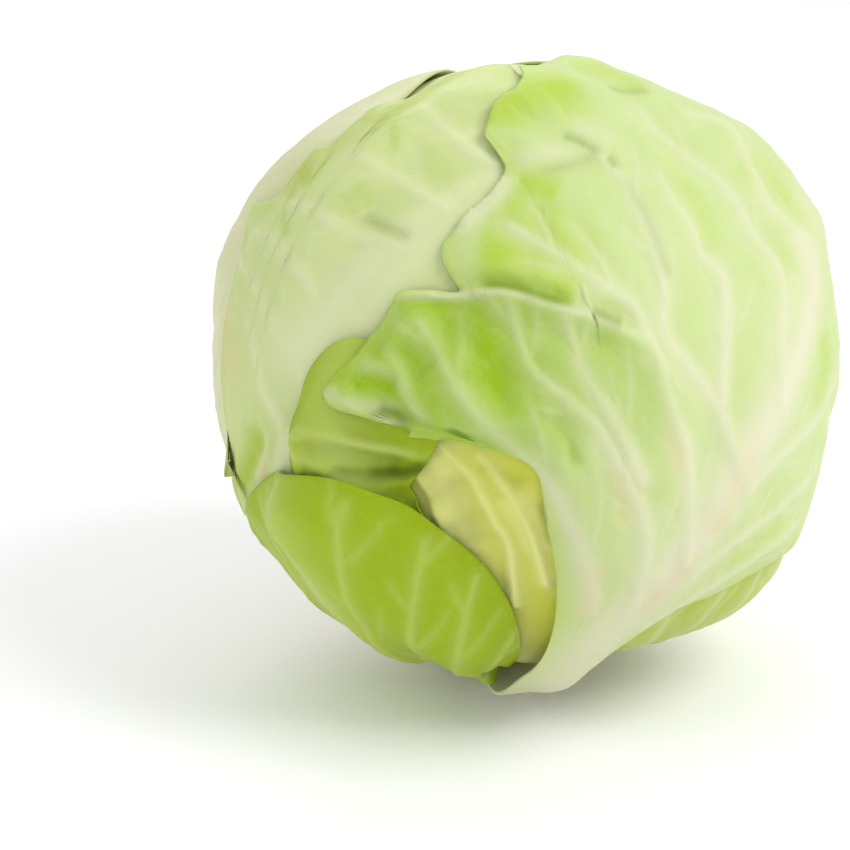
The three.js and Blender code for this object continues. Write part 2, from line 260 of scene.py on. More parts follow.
# The crown leaf, the innermost wrapper: a pale blade that rises up the back and closes over the top.
# Each leaf is one sheet laid over the heart and the leaves inside it, with a thick midrib and raised veins.
# A leaf's plane is x across and y along it, in degrees of arc on the head from the middle of the blade.
# Heights and thicknesses are millimetres.
BLADE = 0.9
MARGIN = 0.6  # thickness of the blade at its edge
RIB = 0.9
MIDRIB = 3.2
MIDRIB_WIDTH = 6.5
CLEARANCE = 1.2
CONTACT = 0.35  # between a leaf's edge and what it lies on
DRAPE = 10
FOLLOW = 2
REACH_TO = 120
EDGE_WAVE = 0.7
EDGE_BEAD = 0.3
EDGE_CLOSES = 4.0  # degrees from its edge over which a leaf comes down on what it covers
BESIDE_VEIN = 3.2  # degrees to each side of a vein over which the blade rises to its full puff
BUCKLE_SCALE = 7.0  # of the noise that crumples a leaf: cells over the head's radius
GRAIN_SCALE = 26.0
GRAIN = 0.12
VEIN_LEAN = 42  # degrees by which side veins leave their vein
FIRST_TWIG = 0.12  # share of a vein below its first side vein
OUTSIDE = 150  # millimetres from the head's middle, beyond every leaf
laid = []
skins_below = []


def through(values, x):
    """A smooth curve through evenly spaced values, at x from 0 to the last of them."""
    values = np.asarray(values, float)
    last = len(values) - 1
    i = np.clip(np.floor(x).astype(int), 0, last - 1)
    f = (x - i).reshape(-1, *[1] * (values.ndim - 1))
    a, b, c, d = (values[np.clip(i + k, 0, last)] for k in (-1, 0, 1, 2))
    return b + 0.5 * f * (c - a + f * (2 * a - 5 * b + 4 * c - d + f * (3 * (b - c) + d - a)))


def smooth(x, low, high):
    """0 below low and 1 above high, with an even step between."""
    t = np.clip((x - low) / (high - low), 0, 1)
    return t * t * (3 - 2 * t)


def blade_points(leaf, across, along):
    """Points of the blade's plane: across from -1, the left edge, to 1, and along from 0, the base, to 1."""
    if "ends" in leaf:
        along = along * (1 + (np.interp(across, *leaf["ends"]) - 1) * along**2)
    turn = leaf["tip"] + across * np.where(across < 0, leaf["tip"] - leaf["start"], REACH_TO - leaf["tip"])
    steps = (len(leaf["reach"]) - 1) / (REACH_TO - leaf["start"])
    far = through(leaf["reach"], (turn - leaf["start"]) * steps)
    edge = np.stack([far * np.sin(np.radians(turn)), far * np.cos(np.radians(turn))], -1)
    way = (across + 1) / 2
    left, right = leaf["petiole"]
    base = np.stack([left + way * (right - left), np.full(len(way), -leaf["base_arc"])], -1)
    pulls = through(leaf["pulls"], way * (len(leaf["pulls"]) - 1))
    t = along[:, None]
    s = 1 - t
    points = s**3 * base + 3 * s * s * t * pulls[:, :2] + 3 * s * t * t * pulls[:, 2:] + t**3 * edge
    for at, radius, move in leaf.get("nudges", []):
        off = np.linalg.norm(points - at, axis=1) / radius
        points = points + np.exp(-off * off)[:, None] * np.array(move)
    return points


def lay_out(leaf):
    """Works out a leaf's own plane, its outline and its midrib from its driving dimensions."""
    centre = direction(*leaf["centre"])
    base = direction(*leaf["base"])
    along = -(base - base @ centre * centre)
    leaf["out"] = centre
    leaf["along"] = along / np.linalg.norm(along)
    leaf["across"] = np.cross(leaf["along"], centre)
    leaf["base_arc"] = math.degrees(math.acos(centre @ base))
    up = np.linspace(0, 1, 16)
    side = np.full(len(up), -1.0)
    for name, steps in (("outline", 70), ("fine_outline", 260)):
        round_edge = np.linspace(-1, 1, steps)[1:-1]
        leaf[name] = np.concatenate([
            blade_points(leaf, side, up),
            blade_points(leaf, round_edge, np.ones(len(round_edge))),
            blade_points(leaf, -side, up[::-1]),
        ])
    leaf["midrib"] = blade_points(leaf, np.zeros(16), up)
    return leaf


def to_direction(leaf, points):
    arc = np.radians(np.linalg.norm(points, axis=1))
    pull = np.sinc(arc / math.pi) * math.radians(1)
    sideways = points[:, :1] * leaf["across"] + points[:, 1:] * leaf["along"]
    return np.cos(arc)[:, None] * leaf["out"] + pull[:, None] * sideways


def to_plane(leaf, d):
    arc = np.degrees(np.arccos(np.clip(d @ leaf["out"], -1, 1)))
    points = np.stack([d @ leaf["across"], d @ leaf["along"]], -1)
    return points * (arc / np.maximum(np.linalg.norm(points, axis=1), 1e-9))[:, None]


def away_from(points, line):
    """Distance to a line of points, the side of it (1 is left), and how far along it the nearest place is."""
    nearest = np.full(len(points), np.inf)
    side = np.ones(len(points))
    way = np.zeros(len(points))
    for i, (a, b) in enumerate(zip(line[:-1], line[1:])):
        run = b - a
        from_a = points - a
        t = np.clip(from_a @ run / max(run @ run, 1e-9), 0, 1)
        gap = from_a - t[:, None] * run
        square = gap[:, 0] ** 2 + gap[:, 1] ** 2
        closer = square < nearest
        nearest = np.where(closer, square, nearest)
        turned = run[0] * from_a[:, 1] - run[1] * from_a[:, 0]
        side = np.where(closer, np.sign(turned), side)
        way = np.where(closer, (i + t) / (len(line) - 1), way)
    return np.sqrt(nearest), side, way


def depth_inside(leaf, points, outline="outline"):
    """How far inside a leaf's outline points are, in degrees; negative outside."""
    line = np.concatenate([leaf[outline], leaf[outline][:1]])
    nearest, _, _ = away_from(points, line)
    inside = np.zeros(len(points), bool)
    x, y = points.T
    for a, b in zip(line[:-1], line[1:]):
        if a[1] != b[1]:
            crosses = (a[1] > y) != (b[1] > y)
            inside ^= crosses & (x < (b[0] - a[0]) * (y - a[1]) / (b[1] - a[1]) + a[0])
    return np.where(inside, nearest, -nearest)


def midrib_height(leaf, points):
    way = np.clip((points[:, 1] + leaf["base_arc"]) / (leaf["base_arc"] + 60), 0, 1)
    return MIDRIB * (1 - 0.85 * way) ** 1.3


def lift_of(leaf, d):
    return sum((swelling(d, *lift) for lift in leaf["lifts"]), np.zeros(len(d)))


def room_taken(leaf, d):
    """How far a leaf lifts the ones above it, which comes down smoothly outside its edge."""
    points = to_plane(leaf, d)
    share = smooth(depth_inside(leaf, points), -DRAPE - FOLLOW, -FOLLOW)
    off_midrib = away_from(points, leaf["midrib"])[0]
    rib = midrib_height(leaf, points) * np.exp(-((off_midrib / (1.9 * MIDRIB_WIDTH)) ** 2))
    return share * (BLADE + RIB + rib + CLEARANCE + lift_of(leaf, d))


def rounded(line, steps=6):
    """A line through a few points, as a smooth one of many."""
    line = np.asarray(line, float)
    return through(line, np.linspace(0, len(line) - 1, steps * (len(line) - 1) + 1))


def branches(line, gap, length):
    """Side veins of a vein, by turns to its left and right, that lean forward and curve towards its end."""
    found = []
    steps = np.linalg.norm(np.diff(line, axis=0), axis=1)
    total = steps.sum()
    count = int(total * (1 - FIRST_TWIG) / gap)
    for k in range(count):
        way = FIRST_TWIG + (1 - FIRST_TWIG) * (k + 0.5 + 0.3 * math.sin(5.1 * k)) / count
        place = way * total
        i = min(int(np.searchsorted(np.cumsum(steps), place)), len(steps) - 1)
        ahead = (line[i + 1] - line[i]) / steps[i]
        across = np.array([-ahead[1], ahead[0]]) * (1 if k % 2 else -1)
        start = line[i]
        long = length * (1 - 0.45 * way) * (1 + 0.25 * math.sin(3.7 * k))
        lean_to = math.radians(VEIN_LEAN + 9 * math.sin(2.3 * k))
        first_way = ahead * math.cos(lean_to) + across * math.sin(lean_to)
        last_way = ahead * math.cos(lean_to * 0.45) + across * math.sin(lean_to * 0.45)
        t = np.linspace(0, 1, 6)[:, None]
        found.append(start + long * (t * first_way + t * t * (last_way - first_way) * 0.5))
    return found


def fan_veins(leaf, count):
    """Veins that leave the midrib low down and spread to the edge, to each side of it."""
    found = []
    for side in (-1, 1):
        for k in range(count):
            across = side * (0.12 + 0.84 * (k + 0.5) / count)
            along = np.linspace(0.1, 0.97, 22)
            sway = 0.02 * np.sin(7 * along + 2.1 * k)
            found.append(blade_points(leaf, across + sway * along, along))
    return found


def vein_rise(points, veins):
    """What veins add to a leaf: their height, how pale they make it, and the way to the nearest one."""
    rise = np.zeros(len(points))
    pale = np.zeros(len(points))
    nearest = np.full(len(points), 30.0)
    for line, widths, heights, whiteness in veins:
        away, _, way = away_from(points, line)
        width = widths[0] + (widths[1] - widths[0]) * way
        high = heights[0] + (heights[1] - heights[0]) * way
        bell = np.exp(-((away / width) ** 2))
        halo = np.exp(-((away / (2.8 * width)) ** 2))
        rise = np.maximum(rise, high * bell)
        pale = np.maximum(pale, whiteness * (1 - 0.35 * way) * (0.65 * bell + 0.35 * halo))
        nearest = np.minimum(nearest, away)
    return rise, pale, nearest


def ripple(d, scale, octaves=3):
    """Noise over the head, about -1 to 1."""
    seen = [Vector(p) * scale for p in d]
    return np.array([noise.fractal(p, 1.0, 2.0, octaves) for p in seen])


def rest_on_leaves_below(d, shape):
    """The surface of the heart and the leaves laid so far in each direction, eased over its steps."""
    under = head_radius(d) - HEART_GAP
    for skin in skins_below:
        for i, out in enumerate(d):
            found = skin.ray_cast(Vector(out) * OUTSIDE, -Vector(out), OUTSIDE)
            if found[0] is not None:
                under[i] = max(under[i], OUTSIDE - found[3])
    under = under.reshape(shape)
    window = [(a, b) for a in range(3) for b in range(3)]
    for _ in range(3):
        padded = np.pad(under, 1, mode="edge")
        under = np.maximum.reduce([padded[a:a + shape[0], b:b + shape[1]] for a, b in window])
    for _ in range(5):
        padded = np.pad(under, 1, mode="edge")
        under = sum(padded[a:a + shape[0], b:b + shape[1]] for a, b in window) / len(window)
    return under.ravel()


def shape_leaf(name, leaf, columns, rows, veins, puff, crumple, extra=None, spread=None):
    """A leaf as a closed sheet laid on the head: a fine outer face, and an inner one of every second point.

    puff is how far the blade swells between veins, and crumple how far it buckles. extra adds a leaf's own
    relief, and spread sets how closely its columns stand across it.
    """
    wide, high = columns + 1, rows + 1
    x, y = np.meshgrid(np.linspace(-1, 1, wide), np.linspace(0, 1, high))
    across = x.ravel()
    if spread:
        across = np.interp(across, *spread)
    along = y.ravel()
    points = blade_points(leaf, across, along)
    d = to_direction(leaf, points)
    depth = np.maximum(depth_inside(leaf, points, "fine_outline"), 0)
    off_midrib = away_from(points, leaf["midrib"])[0]
    rib = midrib_height(leaf, points) * np.exp(-((off_midrib / MIDRIB_WIDTH) ** 2))
    rise, pale, nearest = vein_rise(points, veins)
    free = smooth(along, 0.3, 0.6)
    free_edge = np.maximum(along**6, np.abs(across) ** 8 * along)
    wave = EDGE_WAVE * free_edge * (0.5 + 0.5 * np.sin(9 * across + 17 * along))
    nominal = head_radius(d) + CLEARANCE + lift_of(leaf, d) + sum(room_taken(other, d) for other in laid)
    under = rest_on_leaves_below(d, (high, wide)) + CONTACT
    on_leaf = smooth(under - head_radius(d) + HEART_GAP, 1.0, 3.0)
    close = np.exp(-((depth / EDGE_CLOSES) ** 2)) * free * on_leaf
    inside = np.maximum(nominal + close * (under - nominal), under)
    marks = {
        "vein": np.maximum(pale, np.exp(-((off_midrib / MIDRIB_WIDTH) ** 2)) * (1 - 0.6 * along)),
        "margin": np.exp(-depth / EDGE_CLOSES),
        "along": along,
    }
    for mark in ("fresh", "deep_green_and_shade", "crease", "warm"):
        marks[mark] = np.zeros(len(points))
    between = 1 - np.exp(-((nearest / BESIDE_VEIN) ** 2))
    relief = rise + crumple * ripple(d, BUCKLE_SCALE) * smooth(depth, 0, 6)
    relief = relief + GRAIN * ripple(d, GRAIN_SCALE) * smooth(depth, 0, 3)
    if extra:
        relief = relief + extra(points, between, marks)
    relief = relief + puff * between * (1 - marks["deep_green_and_shade"])
    bead = EDGE_BEAD * np.exp(-(((depth - 0.9) / 0.8) ** 2)) * free
    thickness = MARGIN + (BLADE - MARGIN) * smooth(depth, 0, 2) + rib
    outer = inside + wave + thickness + relief + bead
    outer = np.maximum(outer, under + 0.3 + 0.7 * thickness)
    every_second = np.arange(wide * high).reshape(high, wide)[::2, ::2]
    inner = (outer - thickness)[every_second.ravel()]
    places = np.concatenate([d * outer[:, None], d[every_second.ravel()] * inner[:, None]])
    at = np.arange(wide * high).reshape(high, wide)
    back = len(d) + np.arange(every_second.size).reshape(every_second.shape)
    faces = np.stack([at[:-1, :-1], at[:-1, 1:], at[1:, 1:], at[1:, :-1]], -1).reshape(-1, 4).tolist()
    outer_faces = list(faces)
    back_faces = np.stack([back[:-1, :-1], back[1:, :-1], back[1:, 1:], back[:-1, 1:]], -1)
    faces += back_faces.reshape(-1, 4).tolist()
    ring = np.concatenate([at[0, :-1], at[:-1, -1], at[-1, :0:-1], at[:0:-1, 0]])
    back_ring = np.concatenate([back[0, :-1], back[:-1, -1], back[-1, :0:-1], back[:0:-1, 0]])
    for k in range(len(back_ring)):
        first, middle, last = (int(ring[(2 * k + step) % len(ring)]) for step in (0, 1, 2))
        faces.append([last, middle, first, int(back_ring[k]), int(back_ring[(k + 1) % len(back_ring)])])
    sheet = bpy.data.meshes.new(name)
    sheet.from_pydata(((places + [0, 0, HEART_HEIGHT]) * MM).tolist(), [], faces)
    piece = bpy.data.objects.new(name, sheet)
    bpy.context.scene.collection.objects.link(piece)
    both = np.concatenate([np.arange(len(d)), every_second.ravel()])
    for mark, values in marks.items():
        layer = sheet.attributes.new(mark, "FLOAT", "POINT")
        layer.data.foreach_set("value", np.clip(values[both], 0, 1).astype(np.float32))
    corners = np.empty(len(sheet.loops), int)
    sheet.loops.foreach_get("vertex_index", corners)
    uv = sheet.uv_layers.new(name="blade")
    uv.data.foreach_set("uv", (points[both][corners] / 240 + 0.5).ravel())
    sheet.shade_smooth()
    skins_below.append(BVHTree.FromPolygons(places[: len(d)].tolist(), outer_faces))
    laid.append(leaf)
    return piece


def leaf_skin(name, green, pale, cream, deep_green_and_shade, creamy=0.5, gloss=0.42):
    """The skin of a leaf: green to pale between the veins, cream on them and towards the base.

    deep is the strong green of its hollows, partly the leaf's own colour and partly painted shade; creamy the
    share of its length that is cream.
    """
    skin = bpy.data.materials.new(name)
    skin.use_nodes = True
    nodes, links = skin.node_tree.nodes, skin.node_tree.links
    shader = nodes["Principled BSDF"]
    shader.inputs["Subsurface Weight"].default_value = 0.2
    shader.inputs["Subsurface Scale"].default_value = 0.5
    shader.inputs["Subsurface Radius"].default_value = (0.002, 0.003, 0.0006)
    shader.inputs["Specular IOR Level"].default_value = 0.12
    shader.inputs["Coat Weight"].default_value = 0.02
    shader.inputs["Coat Roughness"].default_value = 0.25
    place = nodes.new("ShaderNodeTexCoord")

    def mark(which):
        read = nodes.new("ShaderNodeAttribute")
        read.attribute_name = which
        return read.outputs["Fac"]

    def number(kind, a, b=None, clamp=False):
        node = nodes.new("ShaderNodeMath")
        node.operation = kind
        node.use_clamp = clamp
        for socket, value in zip(node.inputs, (a, b)):
            if isinstance(value, (int, float)):
                socket.default_value = value
            elif value is not None:
                links.new(value, socket)
        return node.outputs[0]

    def mixed(share, low, high):
        node = nodes.new("ShaderNodeMix")
        node.data_type = "RGBA"
        links.new(share, node.inputs[0])
        for socket, value in ((node.inputs[6], low), (node.inputs[7], high)):
            if isinstance(value, tuple):
                socket.default_value = (*value, 1)
            else:
                links.new(value, socket)
        return node.outputs[2]

    cloud = nodes.new("ShaderNodeTexNoise")
    cloud.inputs["Scale"].default_value = 38
    cloud.inputs["Detail"].default_value = 5
    links.new(place.outputs["Object"], cloud.inputs["Vector"])
    speck = nodes.new("ShaderNodeTexNoise")
    speck.inputs["Scale"].default_value = 420
    speck.inputs["Detail"].default_value = 4
    links.new(place.outputs["Object"], speck.inputs["Vector"])
    net = nodes.new("ShaderNodeTexVoronoi")
    net.feature = "DISTANCE_TO_EDGE"
    net.inputs["Scale"].default_value = 170
    warped = nodes.new("ShaderNodeVectorMath")
    warped.operation = "MULTIPLY_ADD"
    warped.inputs[1].default_value = (0.006, 0.006, 0.006)
    links.new(speck.outputs["Color"], warped.inputs[0])
    links.new(place.outputs["Object"], warped.inputs[2])
    links.new(warped.outputs[0], net.inputs["Vector"])
    threads = number("SUBTRACT", 1, number("MULTIPLY", net.outputs["Distance"], 9, True), True)

    cloudy = number("MULTIPLY_ADD", cloud.outputs["Fac"], 1.5)
    nodes[-1].inputs[2].default_value = -0.5
    greenness = number("ADD", number("MULTIPLY", mark("margin"), 0.45), number("MULTIPLY", cloudy, 0.4), True)
    body = mixed(greenness, pale, green)
    body = mixed(mark("fresh"), body, green)
    body = mixed(mark("deep_green_and_shade"), body, deep_green_and_shade)
    near_base = nodes.new("ShaderNodeMapRange")
    near_base.interpolation_type = "SMOOTHSTEP"
    near_base.inputs["From Min"].default_value = creamy
    near_base.inputs["From Max"].default_value = 0.15 * creamy
    links.new(mark("along"), near_base.inputs["Value"])
    body = mixed(number("MULTIPLY", near_base.outputs["Result"], 0.8), body, cream)
    body = mixed(number("MULTIPLY", threads, 0.06), body, cream)
    body = mixed(number("MULTIPLY", mark("vein"), 0.9), body, cream)
    body = mixed(number("MULTIPLY", mark("warm"), 0.7), body, (0.66, 0.54, 0.30))
    # Painted shade: creases and slits are darkened towards half the deep green.
    in_shade = tuple(0.5 * c for c in deep_green_and_shade)
    body = mixed(number("MULTIPLY", mark("crease"), 0.85), body, in_shade)
    links.new(body, shader.inputs["Base Color"])
    rough = nodes.new("ShaderNodeMapRange")
    rough.inputs["To Min"].default_value = gloss - 0.07
    rough.inputs["To Max"].default_value = gloss + 0.1
    links.new(speck.outputs["Fac"], rough.inputs["Value"])
    links.new(rough.outputs["Result"], shader.inputs["Roughness"])
    grain = number("ADD", number("MULTIPLY", threads, 0.6), number("MULTIPLY", speck.outputs["Fac"], 0.5))
    dent = nodes.new("ShaderNodeBump")
    dent.inputs["Strength"].default_value = 0.22
    dent.inputs["Distance"].default_value = 0.25 * MM
    links.new(grain, dent.inputs["Height"])
    links.new(dent.outputs["Normal"], shader.inputs["Normal"])
    return skin


def main_and_side_veins(lines, widths, heights, whiteness, gap=9, length=17):
    """Each line as a strong vein, with its side veins. Widths and heights are those at its two ends."""
    found = []
    for line in lines:
        found.append((line, widths, heights, whiteness))
        for twig in branches(line, gap, length):
            found.append((twig, (0.8, 0.45), (0.4 * heights[0], 0.05), 0.5 * whiteness))
    return found


pale_skin = leaf_skin(
    "pale_leaf_skin",
    green=(0.44, 0.54, 0.14),
    pale=(0.55, 0.62, 0.28),
    cream=(0.66, 0.67, 0.44),
    deep_green_and_shade=(0.33, 0.46, 0.02),
)
crown = lay_out(dict(
    base=(32, 58), centre=(128, 105), start=-120, tip=5, petiole=(-6, 6), lifts=[],
    reach=[50, 56, 62, 60, 58, 60, 62, 58, 52],
    pulls=[[-16, -78, -29, -38], [2, -70, 6, -20], [14, -78, 33, -42]],
))
crown_veins = main_and_side_veins(fan_veins(crown, 5), (1.5, 0.6), (0.8, 0.2), 0.9)
crown_leaf = shape_leaf(
    "crown_leaf", crown, columns=180, rows=140, veins=crown_veins, puff=0.35, crumple=0.5
)
crown_leaf.data.materials.append(pale_skin)
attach(crown_leaf, "root")
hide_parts("leaf_crown")

# The back left leaf: a pale blade up the back and left side, whose cream edge shows past the left leaf.
back_left = lay_out(dict(
    base=(16, 112), centre=(98, 156), start=-120, tip=8, petiole=(-6.5, 6.5), lifts=[],
    reach=[48, 58, 62, 62, 64, 62, 58, 52, 48],
    pulls=[[-14, -62, -26, -34], [0, -60, -3, -10], [13, -62, 30, -42]],
))
cream_skin = leaf_skin(
    "cream_leaf_skin",
    green=(0.50, 0.57, 0.24),
    pale=(0.61, 0.63, 0.35),
    cream=(0.69, 0.67, 0.46),
    deep_green_and_shade=(0.42, 0.48, 0.10),
)
back_left_veins = main_and_side_veins(fan_veins(back_left, 5), (1.6, 0.6), (0.8, 0.2), 0.9)
back_left_leaf = shape_leaf(
    "back_left_leaf", back_left, columns=180, rows=140, veins=back_left_veins, puff=0.35, crumple=0.5
)
back_left_leaf.data.materials.append(cream_skin)
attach(back_left_leaf, "root")
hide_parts("leaf_back_left")

# The back right leaf: the same kind of blade, up the back and right side.
back_right = lay_out(dict(
    base=(16, 18), centre=(102, 58), start=-120, tip=10, petiole=(-6.5, 6.5), lifts=[],
    reach=[52, 62, 66, 66, 64, 62, 60, 56, 50],
    pulls=[[-15, -64, -30, -38], [0, -60, -3, -10], [13, -62, 31, -42]],
))
back_right_veins = main_and_side_veins(fan_veins(back_right, 5), (1.6, 0.6), (0.8, 0.2), 0.9)
back_right_leaf = shape_leaf(
    "back_right_leaf", back_right, columns=180, rows=140, veins=back_right_veins, puff=0.35, crumple=0.5
)
back_right_leaf.data.materials.append(pale_skin)
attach(back_right_leaf, "root")
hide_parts("leaf_back_right")

# The left leaf: a smooth grey-green blade with a broad flat midrib that runs up from the lower left.
# Its main veins are placed where the photograph shows them, as pixels of its 850 by 850 frame.
PHOTO_SIZE = 850
FOCAL = LENS_MM / SENSOR_MM * PHOTO_SIZE
NEAR_SURFACE = 96.0  # millimetres from the head's middle, a first guess of where a ray meets a leaf
TRIM_FROM = 0.55  # a line from base to edge is cut no shorter than this share of itself
TRIM_TO = 1.35  # and drawn out no longer than this


def seen_on(leaf, pixels):
    """Pixels of the photograph as points of a leaf's plane, where their rays meet the leaf."""
    x, y = np.asarray(pixels, float).T
    ray = CAMERA_FORWARD + ((x - PHOTO_SIZE / 2) / FOCAL)[:, None] * CAMERA_RIGHT
    ray = ray - ((y - PHOTO_SIZE / 2) / FOCAL)[:, None] * CAMERA_UP
    ray /= np.linalg.norm(ray, axis=1, keepdims=True)
    eye = CAMERA_AT / MM - [0, 0, HEART_HEIGHT]
    ahead = ray @ eye
    radius = np.full(len(x), NEAR_SURFACE)
    for _ in range(4):
        far = -ahead - np.sqrt(np.maximum(ahead**2 - eye @ eye + radius**2, 0))
        met = eye + far[:, None] * ray
        d = met / np.linalg.norm(met, axis=1, keepdims=True)
        radius = head_radius(d) + CLEARANCE + BLADE + lift_of(leaf, d)
        radius = radius + sum(room_taken(other, d) for other in laid)
    return to_plane(leaf, d)


def turn_and_reach(points):
    """Points of a leaf's plane as their turn from its direction and their distance from its middle."""
    return np.degrees(np.arctan2(points[:, 0], points[:, 1])), np.linalg.norm(points, axis=1)


def trim_edge(leaf, pixels):
    """Ends each line from a leaf's base to its free edge where the photograph shows that edge."""
    turns, reaches = turn_and_reach(rounded(seen_on(leaf, pixels), 4))
    turns = np.maximum.accumulate(turns)
    ways = np.linspace(TRIM_FROM, TRIM_TO, 161)
    across = np.linspace(-1, 1, 601)
    ends = []
    for share in across:
        turn, reach = turn_and_reach(blade_points(leaf, np.full(len(ways), share), ways))
        nominal = turn_and_reach(blade_points(leaf, np.array([share]), np.ones(1)))[1][0]
        seen = smooth(turn, turns[0] - 8, turns[0]) * (1 - smooth(turn, turns[-1], turns[-1] + 8))
        limit = nominal + seen * (np.interp(turn, turns, reaches) - nominal)
        beyond = np.nonzero(reach > limit)[0]
        ends.append(ways[beyond[0]] if len(beyond) else ways[-1])
    leaf["ends"] = (across, np.array(ends))
    lay_out(leaf)


left = lay_out(dict(
    base=(16, -178), centre=(112, -134), start=-120, tip=18, petiole=(-6.5, 6.5), lifts=[],
    reach=[42, 38, 40, 56, 66, 68, 62, 54, 44],
    pulls=[[-12, -66, -25, -36], [1, -62, 4, 2], [16, -66, 24, -32]],
))
LEFT_EDGE_SEEN = [
    (250, 200), (270, 190), (300, 160), (310, 148), (330, 143), (345, 125), (370, 105), (395, 98),
    (420, 88), (440, 78), (470, 70), (505, 66),
]
trim_edge(left, LEFT_EDGE_SEEN)
LEFT_VEINS_SEEN = [
    [(411, 250), (390, 248), (364, 238), (337, 224), (303, 207), (280, 200)],
    [(450, 212), (432, 201), (404, 183), (373, 163), (350, 152)],
    [(330, 330), (322, 312), (308, 281), (289, 260), (272, 240), (255, 232)],
    [(305, 375), (295, 355), (280, 334), (264, 302), (249, 273), (238, 255)],
    [(285, 420), (270, 395), (259, 366), (253, 334), (244, 311)],
    [(500, 168), (470, 150), (445, 128), (417, 100)],
]
LEFT_MIDRIB_SEEN = [
    (300, 352), (327, 324), (352, 290), (379, 260), (405, 237), (432, 214), (470, 190), (506, 172),
]
# A fold is a line of pixels, its width in degrees, its height in millimetres and its tone.
# A tone above 0 makes the leaf paler there, and one below 0 a stronger green, partly the leaf's own and partly
# painted shade in its grooves and hollows.
# A slit is its line and how much painted shade darkens it, and a warm patch its line, its width and how strong
# it is.
LEFT_GREENS_SEEN = [
    ([(349, 187), (356, 200), (362, 212)], 3.0, 0, -0.45),
    ([(291, 166), (300, 178), (303, 192)], 3.4, 0, -0.6),
    ([(362, 122), (372, 112), (382, 103)], 3.0, 0, -0.45),
    ([(420, 150), (440, 170), (455, 190)], 4.0, 0, -0.25),
    ([(385, 215), (400, 200), (415, 215)], 4.0, 0, -0.2),
    ([(338, 358), (318, 385), (300, 408), (284, 432)], 1.6, -0.4, -0.6),
    ([(262, 425), (258, 450), (246, 475), (240, 495)], 2.6, -0.9, -0.8),
    ([(272, 430), (270, 452), (258, 482)], 1.3, 0.9, 0.3),
    ([(394, 100), (397, 124), (394, 159)], 0.9, -0.3, -0.5),
    ([(287, 176), (283, 214), (289, 239)], 0.9, -0.3, -0.4),
]
LEFT_SLITS_SEEN = [([(360, 215), (385, 228), (413, 242)], 0.45)]
LEFT_WARM_SEEN = [
    ([(222, 300), (226, 345), (236, 385)], 4.0, 0.5),
    ([(262, 462), (270, 475), (262, 488)], 1.5, 0.9),
]
SLIT_WIDTH = 1.25


def along_lines(points, leaf, lines):
    """For each line of pixels: how far each point is to its left, how far within its ends, and how near."""
    for pixels, wide, *rest in lines:
        line = rounded(seen_on(leaf, pixels), 3)
        off, side, way = away_from(points, line)
        ends = smooth(way, -0.05, 0.22) * (1 - smooth(way, 0.78, 1.05))
        yield off * side, ends, ends * np.exp(-((off / wide) ** 2)), rest


def fold_and_tint(points, leaf, between, marks, folds, slits=(), warm=()):
    """Folds raise or sink a leaf along lines and make it paler, or a stronger green that is partly painted
    shade; slits are narrow creases darkened with painted shade.
    """
    rise = np.zeros(len(points))
    for _, _, bell, (high, tone) in along_lines(points, leaf, folds):
        rise = rise + high * bell
        if tone > 0:
            marks["vein"] = np.maximum(marks["vein"], tone * bell)
        else:
            marks["deep_green_and_shade"] = np.maximum(marks["deep_green_and_shade"], -tone * bell * (0.7 + 0.3 * between))
    slits = [(line, SLIT_WIDTH, painted_shade) for line, painted_shade in slits]
    for aside, ends, bell, (painted_shade,) in along_lines(points, leaf, slits):
        rise = rise - 0.4 * bell + 0.35 * ends * np.exp(-(((aside + 1.9) / 1.2) ** 2))
        marks["crease"] = np.maximum(marks["crease"], painted_shade * bell)
    for _, _, bell, (strong,) in along_lines(points, leaf, warm):
        marks["warm"] = np.maximum(marks["warm"], strong * bell)
    return rise


def left_relief(points, between, marks):
    return fold_and_tint(points, left, between, marks, LEFT_GREENS_SEEN, LEFT_SLITS_SEEN, LEFT_WARM_SEEN)


left_lines = [rounded(seen_on(left, line)) for line in LEFT_VEINS_SEEN]
left_veins = main_and_side_veins(left_lines, (1.5, 0.7), (0.8, 0.3), 0.7)
left_veins.append((rounded(seen_on(left, LEFT_MIDRIB_SEEN)), (5.0, 2.5), (0.8, 0.3), 0.75))
left_leaf = shape_leaf(
    "left_leaf", left, columns=240, rows=180, veins=left_veins, puff=0.3, crumple=0.35,
    extra=left_relief,
)
grey_skin = leaf_skin(
    "grey_green_skin",
    green=(0.45, 0.55, 0.14),
    pale=(0.56, 0.64, 0.28),
    cream=(0.70, 0.73, 0.48),
    deep_green_and_shade=(0.35, 0.46, 0.01),
)
left_leaf.data.materials.append(grey_skin)
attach(left_leaf, "root")
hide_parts("leaf_left")

# The low right leaf: a greener blade round the right foot of the head, mostly under the front leaf.
low_right = lay_out(dict(
    base=(16, -34), centre=(68, -18), start=-120, tip=6, petiole=(-7, 7), lifts=[],
    reach=[52, 54, 50, 50, 50, 50, 48, 46, 42],
    pulls=[[-20, -44, -34, -40], [0, -34, 0, -4], [12, -40, 28, -32]],
))
fresh_skin = leaf_skin(
    "fresh_green_skin",
    green=(0.33, 0.43, 0.01),
    pale=(0.42, 0.52, 0.08),
    cream=(0.62, 0.65, 0.34),
    deep_green_and_shade=(0.24, 0.36, 0.0),
)
low_right_veins = main_and_side_veins(fan_veins(low_right, 4), (1.4, 0.6), (0.8, 0.2), 0.8)
low_right_leaf = shape_leaf(
    "low_right_leaf", low_right, columns=150, rows=120, veins=low_right_veins, puff=0.4, crumple=0.5
)
low_right_leaf.data.materials.append(fresh_skin)
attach(low_right_leaf, "root")
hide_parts("leaf_low_right")

